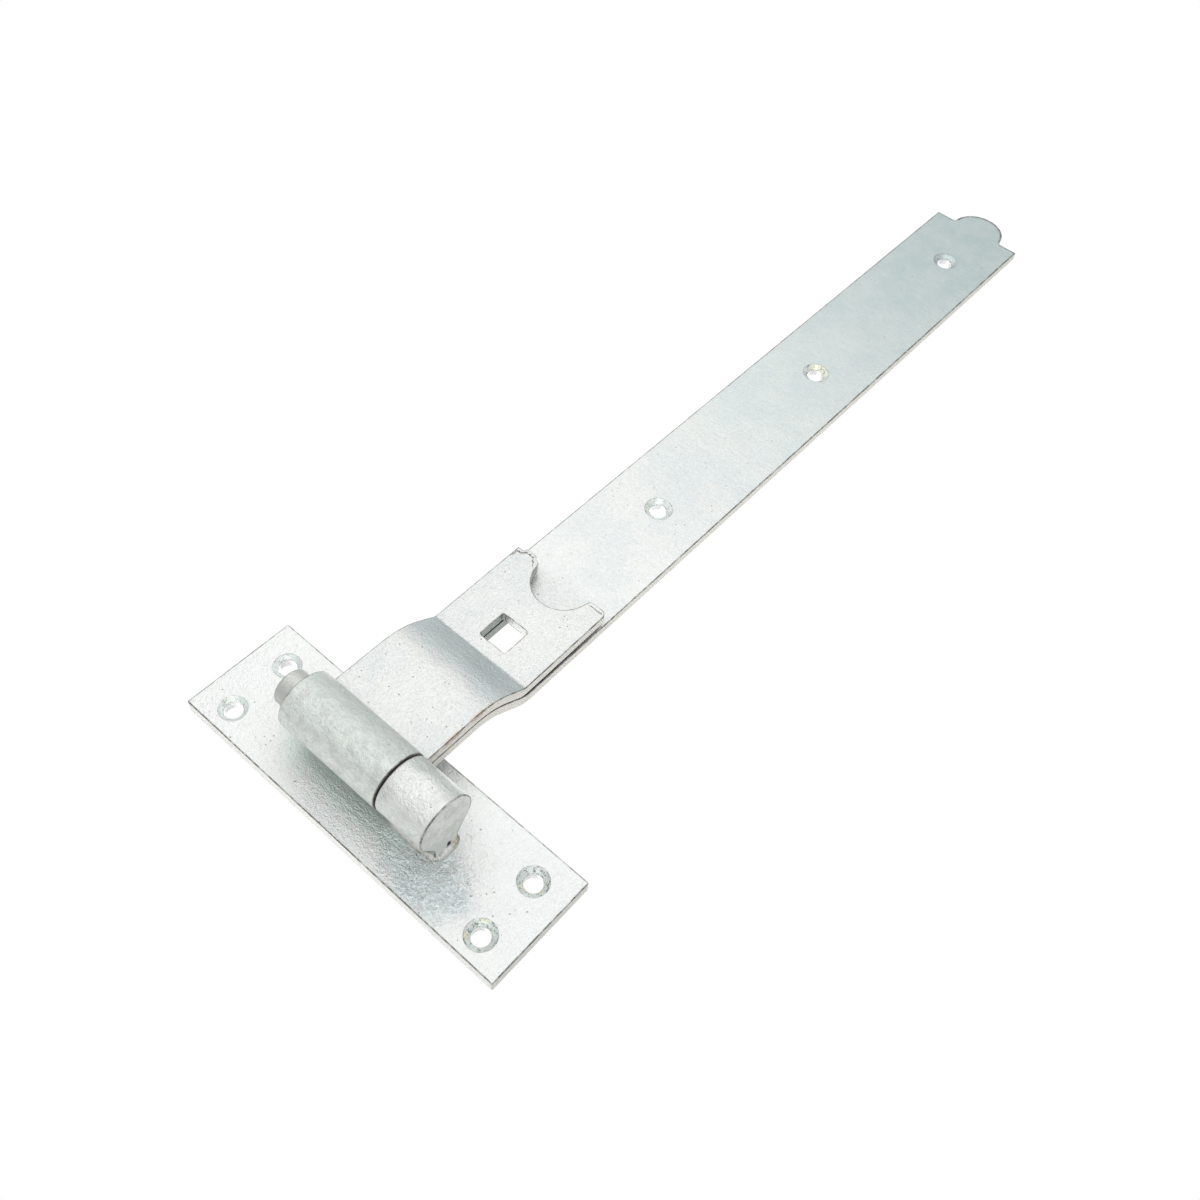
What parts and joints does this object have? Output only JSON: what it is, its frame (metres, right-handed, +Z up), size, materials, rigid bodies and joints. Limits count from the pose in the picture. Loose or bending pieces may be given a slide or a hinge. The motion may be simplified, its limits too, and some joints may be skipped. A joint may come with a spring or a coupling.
{
  "type": "hook and band hinge",
  "caption": "Cranked hook and band gate hinge: a welded plate with an upright pin, and a long flat band whose rolled eye turns on it.",
  "frame": {"origin": "centre of the back plate's back face, the face that lies on the post", "axes": "+X along the band, away from the pin; +Y into the post, out of the plate's back face; +Z up the pin, towards its free end"},
  "size_m": [0.3989, 0.0311, 0.13],
  "materials": {
    "galvanised_plate": "hot-dip galvanised, mottled matt grey",
    "galvanised_pin": "hot-dip galvanised, satin grey",
    "galvanised_weld": "rough weld bead under the zinc",
    "galvanised_band": "hot-dip galvanised, mottled matt grey"
  },
  "bodies": {
    "hook": {"back_plate": "galvanised_plate", "hook_pin": "galvanised_pin", "foot_weld": "galvanised_weld"},
    "band": {"band": "galvanised_band"}
  },
  "joints": [
    {"name": "band_swing", "type": "hinge", "parent": "hook", "child": "band", "pos_m": [0, -0.021, 0.011], "axis": [0, 0, -1], "range_deg": [-15, 223]}
  ]
}
